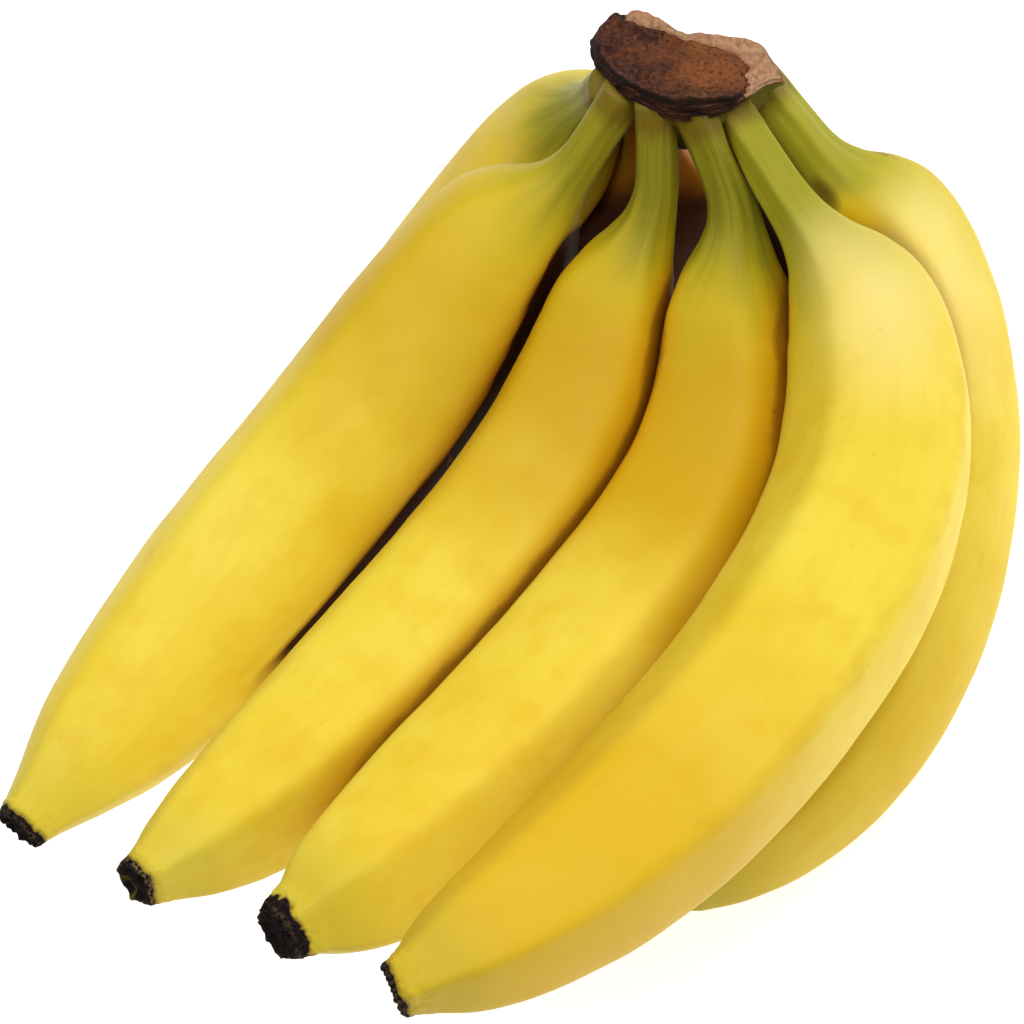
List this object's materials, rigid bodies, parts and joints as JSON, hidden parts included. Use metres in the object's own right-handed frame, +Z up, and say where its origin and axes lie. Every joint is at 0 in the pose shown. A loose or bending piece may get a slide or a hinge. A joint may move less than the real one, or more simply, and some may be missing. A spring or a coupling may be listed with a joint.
{
  "type": "bunch of bananas",
  "caption": "Hand of ripe yellow bananas joined at a cut brown crown, with green necks and black blossom ends, lying on the curved backs of its rear fingers.",
  "frame": {"origin": "centre of the bunch's bounding box, on the surface it lies on", "axes": "+X from the blossom ends towards the crown, +Y across the hand towards its first finger, +Z up from the surface"},
  "size_m": [0.2157, 0.1841, 0.1208],
  "materials": {
    "crown": "matt, fibrous",
    "skin": "satin"
  },
  "bodies": {
    "root": {"crown": "crown", "finger_front_1": "skin", "finger_front_2": "skin", "finger_front_3": "skin", "finger_front_4": "skin", "finger_back_1": "skin", "finger_back_2": "skin", "finger_back_3": "skin", "finger_back_4": "skin"}
  },
  "joints": []
}
